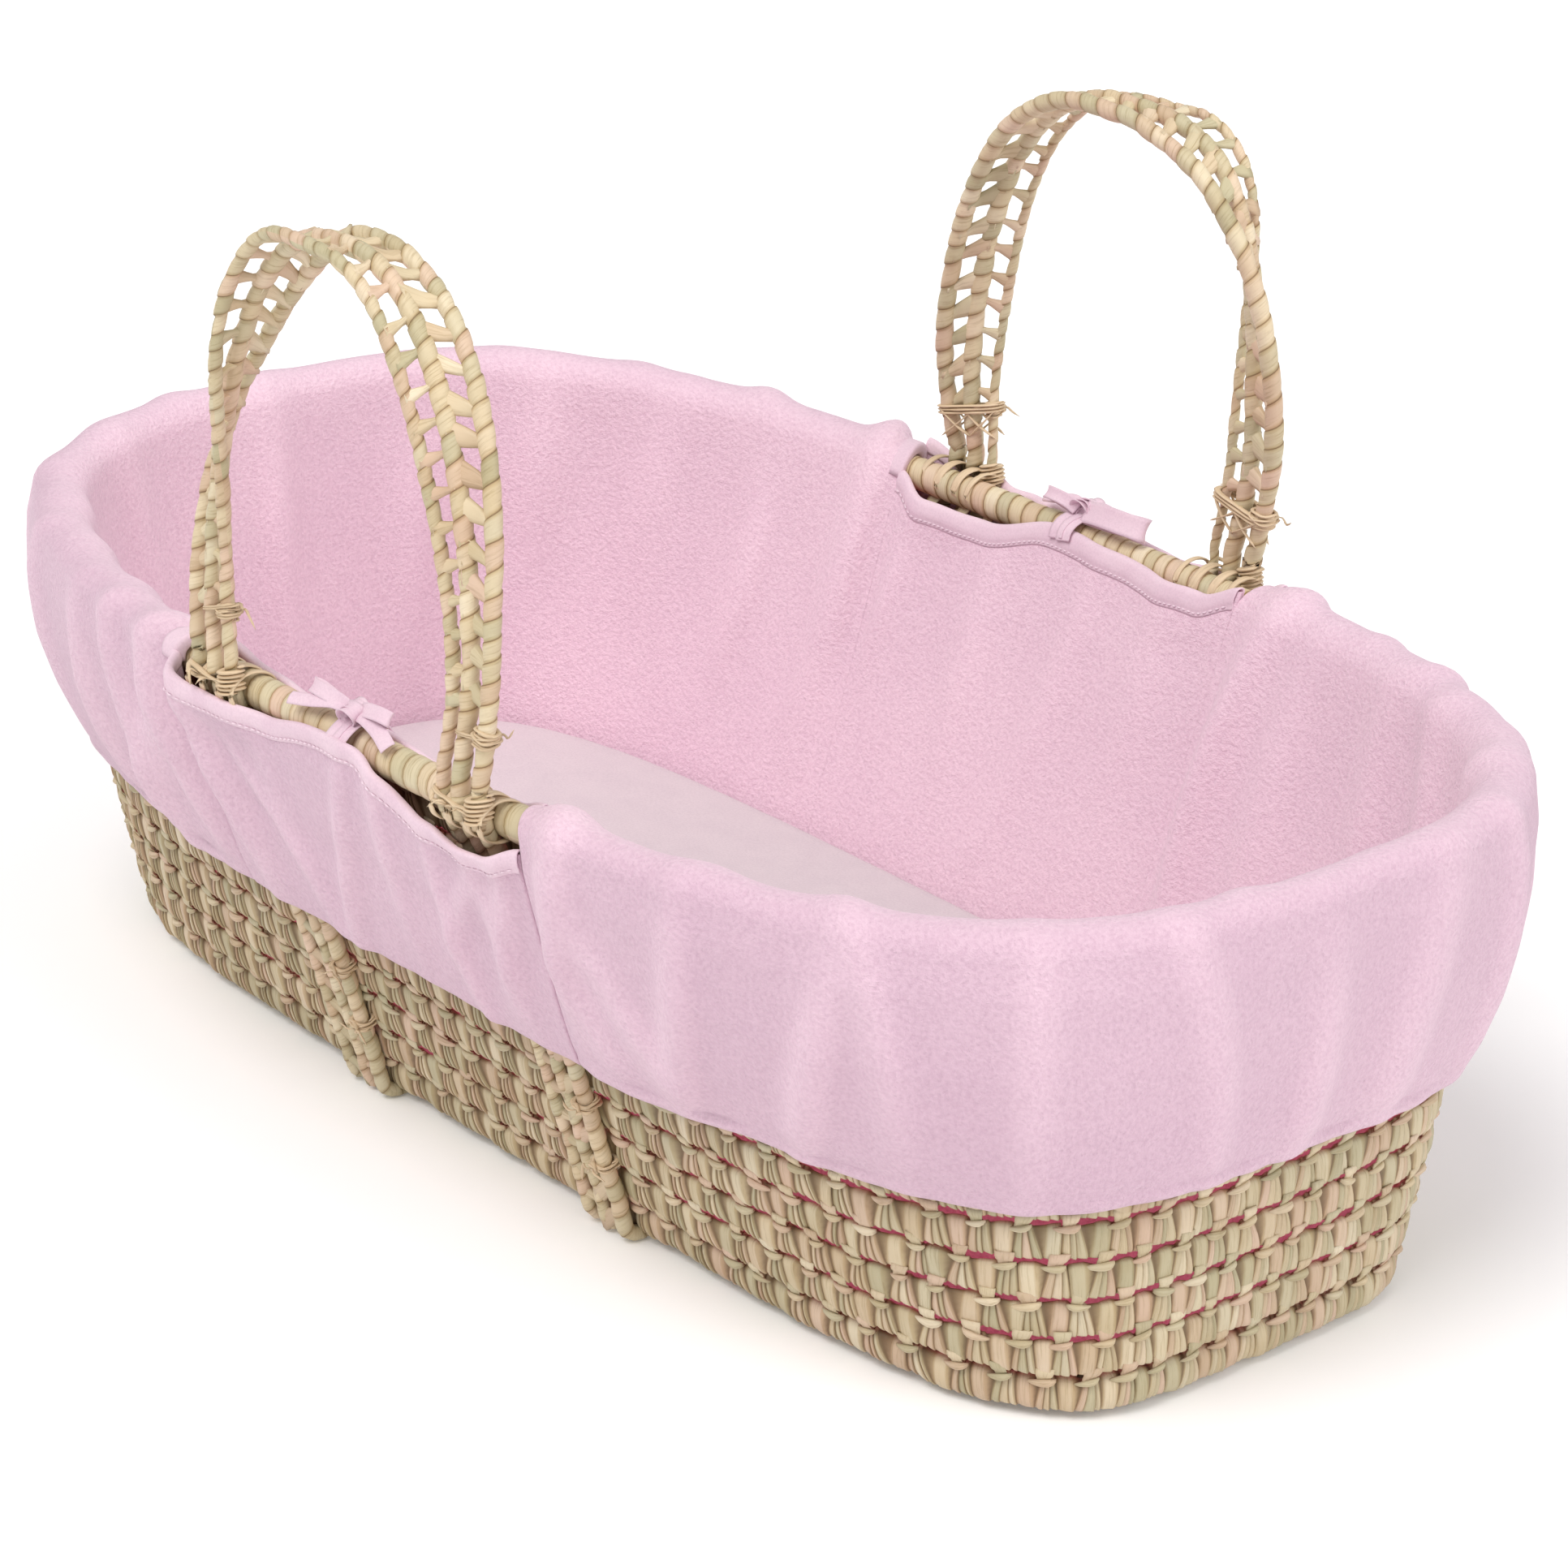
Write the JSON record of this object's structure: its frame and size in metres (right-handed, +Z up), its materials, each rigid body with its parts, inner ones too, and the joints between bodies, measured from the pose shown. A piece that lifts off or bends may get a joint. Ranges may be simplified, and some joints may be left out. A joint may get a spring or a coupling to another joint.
{
  "type": "moses basket",
  "caption": "Baby's carrying basket of coiled palm leaf, with laced strap handles, a pink fleece cover with a gathered skirt, and a mattress in a fitted sheet.",
  "frame": {"origin": "middle of the base's underside, on the floor", "axes": "+X along the length towards the foot end, +Y towards the back handle, +Z up"},
  "size_m": [0.856, 0.5342, 0.4922],
  "materials": {
    "leaf_coil": "dry palm leaf wrapped round a coil",
    "leaf_cord": "smooth palm leaf wound tight round a cord",
    "leaf_lacing": "flat palm leaf strips",
    "raffia": "twisted raffia strands",
    "pink_fleece": "soft plush fleece",
    "pink_cotton": "smooth cotton binding and tape",
    "elastic": "woven flat elastic",
    "foam": "open-cell foam",
    "sheet_cotton": "fine cotton jersey"
  },
  "bodies": {
    "basket": {"base_mat": "leaf_coil", "base_edge_coil": "leaf_coil", "wall_coil_01": "leaf_coil", "wall_coil_02": "leaf_coil", "wall_coil_03": "leaf_coil", "wall_coil_04": "leaf_coil", "wall_coil_05": "leaf_coil", "wall_coil_06": "leaf_coil", "wall_coil_07": "leaf_coil", "wall_coil_08": "leaf_coil", "wall_coil_09": "leaf_coil", "wall_coil_10": "leaf_coil", "rim_coil": "leaf_cord", "left_strap_cords": "leaf_cord", "right_strap_cords": "leaf_cord", "left_strap_lacing": "leaf_lacing", "right_strap_lacing": "leaf_lacing", "rim_lashings": "raffia", "wall_lashings": "raffia", "head_end_cover": "pink_fleece", "foot_end_cover": "pink_fleece", "front_skirt_flap": "pink_fleece", "back_skirt_flap": "pink_fleece", "front_lining_flap": "pink_fleece", "back_lining_flap": "pink_fleece", "front_skirt_binding": "pink_cotton", "back_skirt_binding": "pink_cotton", "front_lining_binding": "pink_cotton", "back_lining_binding": "pink_cotton", "front_tie": "pink_cotton", "back_tie": "pink_cotton", "hem_elastic": "elastic"},
    "front_handle": {"front_handle_inner_cord": "leaf_cord", "front_handle_middle_cord": "leaf_cord", "front_handle_outer_cord": "leaf_cord", "front_handle_lacing": "leaf_lacing", "front_handle_lashings": "raffia"},
    "back_handle": {"back_handle_inner_cord": "leaf_cord", "back_handle_middle_cord": "leaf_cord", "back_handle_outer_cord": "leaf_cord", "back_handle_lacing": "leaf_lacing", "back_handle_lashings": "raffia"},
    "mattress": {"mattress_foam": "foam", "fitted_sheet": "sheet_cotton"}
  },
  "joints": [
    {"name": "front_handle_fold", "type": "hinge", "parent": "basket", "child": "front_handle", "pos_m": [0, -0.24825, 0.262], "axis": [1, 0, 0], "range_deg": [-55, 80], "stiffness_Nm_per_rad": 0.8},
    {"name": "back_handle_fold", "type": "hinge", "parent": "basket", "child": "back_handle", "pos_m": [0, 0.24825, 0.262], "axis": [-1, 0, 0], "range_deg": [-55, 80], "stiffness_Nm_per_rad": 0.8},
    {"name": "mattress_lift", "type": "slide", "parent": "basket", "child": "mattress", "axis": [0, 0, 1], "range_m": [0, 0.24]}
  ]
}
